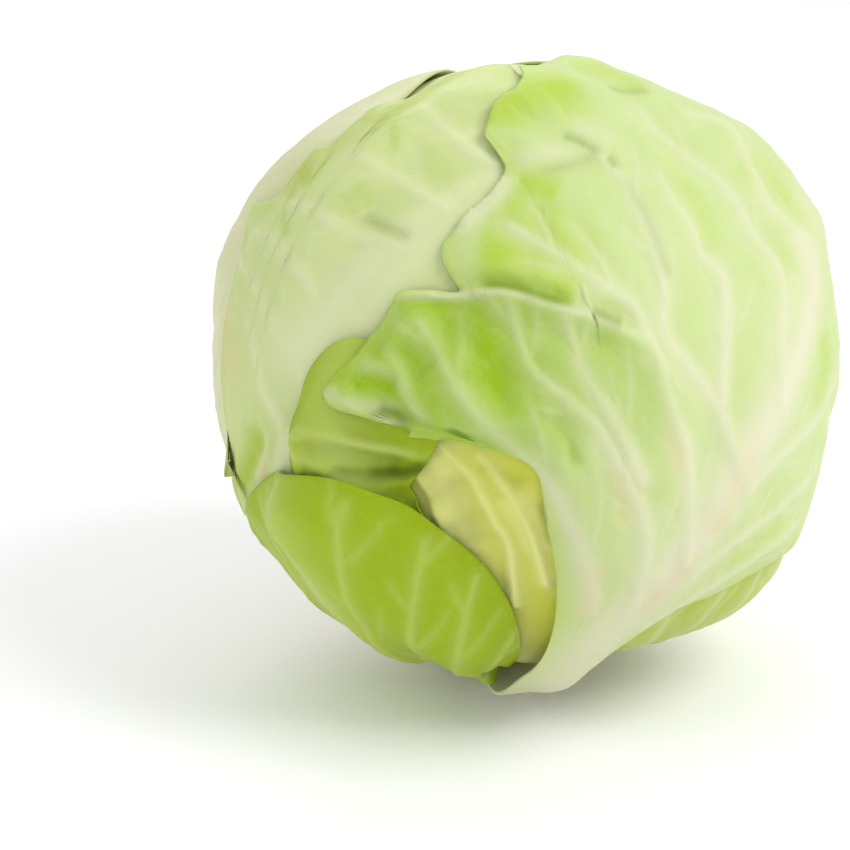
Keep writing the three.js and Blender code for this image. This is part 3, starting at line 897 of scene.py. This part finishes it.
# The inner front leaf: a small yellow-green blade with pale ribs, at the back of the hollow in the front.
front_inner = lay_out(dict(
    base=(36, -88), centre=(82, -102), start=-120, tip=-4, petiole=(-6, 6), lifts=[],
    reach=[24, 27, 28, 28, 32, 38, 40, 36, 30],
    pulls=[[-10, -34, -13, -19], [-3, -30, -3, -6], [11, -34, 15, -24]],
))
yellow_skin = leaf_skin(
    "yellow_green_skin",
    green=(0.42, 0.46, 0.0),
    pale=(0.54, 0.57, 0.07),
    cream=(0.80, 0.81, 0.36),
    deep_green_and_shade=(0.34, 0.37, 0.0),
    creamy=0.2,
)
INNER_VEINS_SEEN = [
    [(515, 600), (510, 545), (495, 519), (475, 480), (453, 454), (440, 440)],
    [(455, 590), (445, 530), (442, 512), (430, 490), (417, 470), (405, 455)],
    [(545, 580), (530, 530), (513, 500), (493, 470), (480, 455)],
    [(405, 560), (412, 530), (405, 505), (395, 485)],
]
# The strong yellow-green in these folds' grooves is partly the leaf's own colour and partly painted shade of
# the hollow.
INNER_FOLDS_SEEN = [
    ([(450, 470), (462, 505), (475, 545)], 3.2, -0.8, -1.0),
    ([(423, 480), (436, 505), (446, 535)], 2.2, -0.6, -0.8),
    ([(404, 495), (416, 515), (426, 530)], 1.2, -0.8, -0.9),
    ([(478, 462), (500, 472), (525, 488)], 1.6, -0.4, -0.7),
    ([(505, 490), (525, 520), (538, 560)], 4.5, 0.2, 0.55),
    ([(540, 500), (547, 520), (551, 545)], 1.0, -0.5, -0.6),
]
inner_lines = [rounded(seen_on(front_inner, line)) for line in INNER_VEINS_SEEN]
inner_veins = main_and_side_veins(inner_lines, (1.3, 1.0), (1.5, 1.0), 0.75, 14, 6)


def hollow_back(points, between, marks):
    return fold_and_tint(points, front_inner, between, marks, INNER_FOLDS_SEEN)


front_inner_leaf = shape_leaf(
    "inner_front_leaf", front_inner, columns=160, rows=130, veins=inner_veins, puff=0.5, crumple=0.5,
    extra=hollow_back,
)
front_inner_leaf.data.materials.append(yellow_skin)
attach(front_inner_leaf, "root")
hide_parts("leaf_front_inner")

# The folded front leaf: a narrow crumpled blade that stands up out of the hollow.
# Its upper part is rolled to a pale lip, with a crease below it darkened with painted shade.
front_low = lay_out(dict(
    base=(34, -112), centre=(84, -122), start=-120, tip=2, petiole=(-6, 6),
    reach=[12, 12, 12, 13, 14, 16, 18, 23, 27, 28, 28, 27, 22, 15, 11, 12, 15],
    pulls=[
        [-8, -40, -5, -11],
        [-2, -38, -1, -10],
        [0, -36, 0, -6],
        [2, -38, -4, -2],
        [8, -42, 12, -22],
    ],
    lifts=[((91, -128), 11, 5), ((84, -118), 9, 2)],
))
FOLDED_VEINS_SEEN = [
    [(340, 520), (332, 485), (312, 460), (293, 447), (284, 440)],
    [(410, 530), (398, 515), (375, 497), (350, 484), (330, 476)],
]
folded_lines = [rounded(seen_on(front_low, line)) for line in FOLDED_VEINS_SEEN]
folded_veins = main_and_side_veins(folded_lines, (1.2, 0.8), (0.8, 0.4), 0.5, 12, 8)
FOLDED_FOLDS_SEEN = [
    ([(281, 446), (287, 436), (310, 432), (345, 438), (385, 449), (430, 458)], 1.3, 1.6, 0.7),
    ([(300, 444), (335, 450), (375, 459), (410, 464)], 2.6, -1.6, -0.8),
    ([(283, 450), (300, 456), (325, 464)], 1.5, 0.9, 0.5),
    ([(330, 470), (360, 476), (400, 474), (430, 467)], 1.3, -2.0, -1.0),
    ([(330, 482), (360, 487), (385, 497)], 1.6, 1.0, 0.4),
    ([(300, 470), (320, 480), (345, 490)], 2.2, -0.9, -0.6),
]
FOLDED_SLITS_SEEN = [([(362, 473), (385, 476), (406, 474), (428, 467)], 0.8)]


def crumple_low(points, between, marks):
    return fold_and_tint(points, front_low, between, marks, FOLDED_FOLDS_SEEN, FOLDED_SLITS_SEEN)


front_low_leaf = shape_leaf(
    "folded_front_leaf", front_low, columns=220, rows=130, veins=folded_veins, puff=0.4, crumple=0.7,
    extra=crumple_low,
)
lively_skin = leaf_skin(
    "lively_green_skin",
    green=(0.25, 0.37, 0.0),
    pale=(0.33, 0.45, 0.01),
    cream=(0.56, 0.64, 0.20),
    deep_green_and_shade=(0.15, 0.23, 0.0),
    creamy=0.4,
)
front_low_leaf.data.materials.append(lively_skin)
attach(front_low_leaf, "root")
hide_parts("leaf_front_low")

# The low left leaf: a short green blade at the foot, whose upper edge lies across the folded one.
low_left = lay_out(dict(
    base=(16, -132), centre=(55, -134), start=-120, tip=0, petiole=(-7, 7),
    reach=[26, 26, 25, 26, 31, 36, 35, 36, 35],
    pulls=[[-10, -31, -18, -22], [0, -24, 0, -2], [11, -30, 24, -26]],
    lifts=[((82, -124), 12, 4)],
))
low_left_veins = main_and_side_veins(fan_veins(low_left, 4), (1.2, 0.6), (0.8, 0.3), 0.7)
low_left_leaf = shape_leaf(
    "low_left_leaf", low_left, columns=150, rows=110, veins=low_left_veins, puff=0.4, crumple=0.6
)
low_left_leaf.data.materials.append(lively_skin)
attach(low_left_leaf, "root")
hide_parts("leaf_low_left")

# The front leaf, outermost and largest: its broad cream midrib sweeps from the foot up the right side.
# The blade closes over the front, pleated along a ledge below which it is hollow, crumpled and strong green, a
# green partly its own and partly painted shade.
front = lay_out(dict(
    base=(15, -80), centre=(112, -62), start=-105, tip=50, petiole=(-26, 2),
    reach=[53, 60, 46, 42, 40, 49, 59, 70, 78, 82, 86, 90, 90, 88, 84, 80],
    pulls=[
        [-6, -62, -18, -12],
        [-1, -62, -8.5, -17],
        [-4, -61, -4, -21],
        [-9, -60, 8, -10],
        [-11, -62, 12, -25],
        [-12.3, -61, 12, -34.5],
        [-12.8, -59, 12, -42],
        [-12.5, -56, 11.5, -47],
        [-12.5, -52, 11, -51],
    ],
    lifts=[((98, -98), 15, 5), ((102, -122), 10, 3), ((76, -84), 14, 4)],
    nudges=[((-28, -23), 8, (3.5, 2.5))],
))
FRONT_EDGE_SEEN = [
    (405, 430), (375, 421), (345, 415), (322, 408), (316, 397), (318, 385), (330, 372), (345, 358),
    (357, 341), (370, 320), (385, 303), (400, 289), (430, 287), (458, 289), (452, 277), (443, 262),
    (443, 245), (455, 230), (465, 215), (482, 202), (495, 190), (508, 165), (492, 148), (485, 130),
    (497, 105), (518, 90), (524, 78), (520, 65),
]
trim_edge(front, FRONT_EDGE_SEEN)
FRONT_VEINS_SEEN = [
    [
        (592, 610), (590, 585), (572, 530), (548, 485), (520, 458),
        (489, 432), (462, 398), (446, 372), (417, 322),
    ],
    [
        (630, 600), (645, 545), (640, 510), (627, 480), (612, 452),
        (590, 420), (538, 375), (524, 353), (508, 299),
    ],
    [(640, 480), (625, 445), (612, 417), (596, 393), (583, 369), (575, 345), (564, 318)],
    [
        (680, 560), (688, 500), (686, 450), (676, 420), (666, 385),
        (658, 357), (633, 307), (596, 280), (510, 227),
    ],
    [
        (735, 470), (722, 420), (690, 370), (664, 330), (664, 290),
        (652, 237), (639, 211), (617, 173), (590, 150),
    ],
    [
        (775, 400), (778, 340), (781, 299), (776, 272), (759, 245),
        (738, 211), (711, 178), (687, 157), (640, 114),
    ],
    [(803, 290), (805, 253), (799, 221), (778, 184), (751, 157), (711, 146), (676, 130)],
    [(719, 400), (725, 330), (719, 272), (700, 253), (687, 221), (671, 200), (657, 173)],
    [(640, 622), (716, 585), (763, 551), (795, 520)],
    [(690, 572), (734, 541), (775, 511), (815, 470)],
    [(745, 488), (780, 455), (815, 420), (832, 380)],
]
FRONT_MIDRIB_SEEN = [
    (560, 680), (598, 639), (669, 569), (728, 486), (763, 427), (790, 370), (806, 300), (809, 235),
]
LEDGE_SEEN = [
    (385, 293), (430, 290), (475, 290), (497, 289), (518, 292), (545, 300), (572, 308), (600, 317),
    (623, 326), (644, 338), (660, 353), (670, 372),
]
FRONT_FOLDS_SEEN = [
    ([(319, 384), (326, 396), (341, 404), (370, 409), (398, 415)], 1.7, 1.6, 0.75),
    ([(341, 386), (366, 383), (392, 392)], 3.6, -2.2, -1.0),
    ([(345, 362), (368, 366), (392, 374), (401, 388), (406, 406)], 1.5, 1.3, 0.5),
    ([(374, 417), (386, 421), (402, 431)], 1.5, 1.4, 0.8),
    ([(379, 340), (394, 369), (401, 388), (411, 410), (425, 432)], 1.4, 1.1, 0.55),
    ([(390, 343), (408, 356), (426, 374)], 3.8, -2.0, -1.0),
    ([(410, 424), (428, 437), (447, 448)], 2.4, -0.9, -0.8),
    ([(415, 297), (452, 327), (471, 354), (490, 387), (524, 410), (545, 430)], 3.8, -1.5, -1.0),
    ([(420, 298), (445, 318), (460, 345)], 4.5, -0.7, -0.95),
    ([(480, 298), (490, 325), (503, 355)], 3.4, -0.9, -0.85),
    ([(524, 309), (539, 335), (550, 365), (578, 385)], 3.2, -1.1, -0.6),
    ([(585, 332), (610, 346), (632, 372), (642, 412)], 4.2, -0.8, -0.4),
    ([(548, 415), (569, 440), (578, 474)], 1.6, -0.8, -0.6),
    ([(407, 404), (437, 425), (475, 447), (531, 470), (560, 487)], 3.4, -0.5, -0.65),
    ([(472, 276), (500, 281), (540, 292), (577, 302)], 2.0, -0.3, -0.7),
    ([(598, 303), (620, 314), (640, 330)], 1.8, -0.2, -0.4),
    ([(508, 172), (494, 194), (475, 212), (455, 238)], 2.0, 0.9, 0.8),
    ([(515, 165), (548, 154), (588, 156)], 2.4, 0.5, 0.5),
    ([(570, 128), (590, 135), (615, 150)], 3.5, 0.5, 0.4),
]
FRONT_SLITS_SEEN = [
    ([(561, 136), (580, 143), (601, 156)], 0.5),
    ([(606, 157), (611, 162), (616, 170)], 0.4),
    ([(606, 89), (626, 95), (645, 103)], 0.35),
    ([(537, 174), (575, 164), (602, 155)], 0.25),
    ([(617, 173), (639, 205), (652, 232), (663, 262), (671, 282)], 0.25),
    ([(371, 411), (389, 415), (408, 433)], 0.8),
    ([(478, 282), (497, 284), (518, 287), (545, 297), (577, 304)], 0.8),
    ([(590, 310), (606, 317), (624, 324)], 0.55),
]
# A fresh green patch is a line of pixels, its width in degrees and how strong it is.
FRESH_SEEN = [
    ([(492, 130), (505, 110), (540, 95), (590, 92)], 7.0, 0.9),
    ([(500, 200), (530, 215), (560, 240), (600, 265)], 6.0, 0.85),
    ([(470, 250), (530, 262), (590, 292)], 6.0, 1.0),
    ([(515, 182), (535, 188), (560, 198)], 4.0, 0.9),
    ([(565, 68), (600, 76), (650, 100)], 5.0, 0.5),
    ([(746, 144), (775, 172), (802, 204)], 4.0, 0.6),
    ([(775, 216), (783, 245), (786, 275)], 4.0, 0.4),
    ([(676, 170), (700, 215), (712, 260)], 4.0, 0.35),
    ([(815, 330), (822, 370), (815, 420)], 4.0, 0.5),
    ([(720, 565), (760, 545), (785, 510)], 5.0, 0.5),
    ([(650, 430), (656, 470), (660, 505)], 4.0, 0.35),
]
FRONT_WARM_SEEN = [
    ([(666, 424), (676, 452), (680, 480)], 1.6, 0.5),
    ([(612, 470), (622, 495), (626, 530)], 1.8, 0.4),
    ([(745, 450), (735, 485), (700, 540)], 2.2, 0.5),
    ([(600, 560), (590, 590), (585, 620)], 2.6, 0.4),
    ([(700, 545), (668, 580), (630, 610)], 2.4, 0.45),
]
front_lines = [rounded(seen_on(front, line)) for line in FRONT_VEINS_SEEN]
front_midrib = rounded(seen_on(front, FRONT_MIDRIB_SEEN))
ledge = rounded(seen_on(front, LEDGE_SEEN), 4)
# A crumpled patch is a pixel at its middle, its radius in degrees and how strong its green is, a green partly
# the leaf's own and partly painted shade of the hollow.
CRUMPLED_SEEN = [
    ((352, 385), 10, 0.8),
    ((405, 362), 12, 0.9),
    ((430, 312), 9, 0.9),
    ((455, 345), 12, 1.0),
    ((500, 375), 12, 0.95),
    ((445, 415), 10, 0.85),
    ((505, 325), 10, 0.8),
    ((500, 440), 8, 0.7),
    ((550, 350), 10, 0.65),
    ((545, 405), 10, 0.7),
    ((600, 365), 10, 0.6),
    ((640, 400), 9, 0.5),
]


def pleat(points, between, marks):
    away, side, _ = away_from(points, ledge)
    _, _, way = away_from(points, ledge[[0, -1]])
    above = away * side
    ends = smooth(way, 0.0, 0.15) * (1 - smooth(way, 0.72, 1.0))
    ridge = 1.4 * np.exp(-(((above + 0.9) / 1.7) ** 2))
    crease = -1.0 * np.exp(-(((above - 1.9) / 1.6) ** 2))
    hollow = -2.0 * smooth(-above, 1.0, 8.0) * (1 - smooth(-above, 16, 34))
    # Painted highlight: the leaf is made paler along the ledge's ridge.
    rim = ends * 0.6 * np.exp(-(((above + 0.6) / 1.0) ** 2))
    folds = fold_and_tint(points, front, between, marks, FRONT_FOLDS_SEEN, FRONT_SLITS_SEEN, FRONT_WARM_SEEN)
    rise = ends * (ridge + crease + hollow) + folds
    # Below the ledge the crumpled patches get a strong green, partly the leaf's own and partly painted shade
    # of the hollow, and the pale veins are toned down there with it.
    crumpled = np.zeros(len(points))
    for pixel, radius, strong in CRUMPLED_SEEN:
        off = np.linalg.norm(points - seen_on(front, [pixel]), axis=1) / radius
        crumpled = np.maximum(crumpled, strong * np.exp(-(off**4)))
    crumpled = crumpled * smooth(-above, -0.2, 1.6)
    marks["deep_green_and_shade"] = np.maximum(marks["deep_green_and_shade"], crumpled * (0.8 + 0.2 * between))
    marks["vein"] = marks["vein"] * (1 - 0.45 * crumpled)
    rise = rise - 1.3 * between * marks["deep_green_and_shade"]
    for _, _, bell, (strong,) in along_lines(points, front, FRESH_SEEN):
        marks["fresh"] = np.maximum(marks["fresh"], strong * bell * (0.6 + 0.4 * between))
    off, _, way = away_from(points, front_midrib)
    marks["vein"] = np.maximum(marks["vein"], np.exp(-((off / (9 - 5 * way)) ** 2)))
    marks["vein"] = np.maximum(marks["vein"], rim)
    return rise


front_veins = main_and_side_veins(front_lines, (1.9, 0.9), (1.0, 0.4), 0.85)
front_leaf = shape_leaf(
    "front_leaf", front, columns=320, rows=240, veins=front_veins, puff=0.5, crumple=0.4,
    extra=pleat, spread=([-1, 0.5, 1], [-1, 0.1, 1]),
)
front_skin = leaf_skin(
    "front_leaf_skin",
    green=(0.42, 0.57, 0.06),
    pale=(0.54, 0.64, 0.30),
    cream=(0.68, 0.67, 0.48),
    deep_green_and_shade=(0.29, 0.46, 0.0),
    creamy=0.42,
)
front_leaf.data.materials.append(front_skin)
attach(front_leaf, "root")
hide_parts("leaf_front")
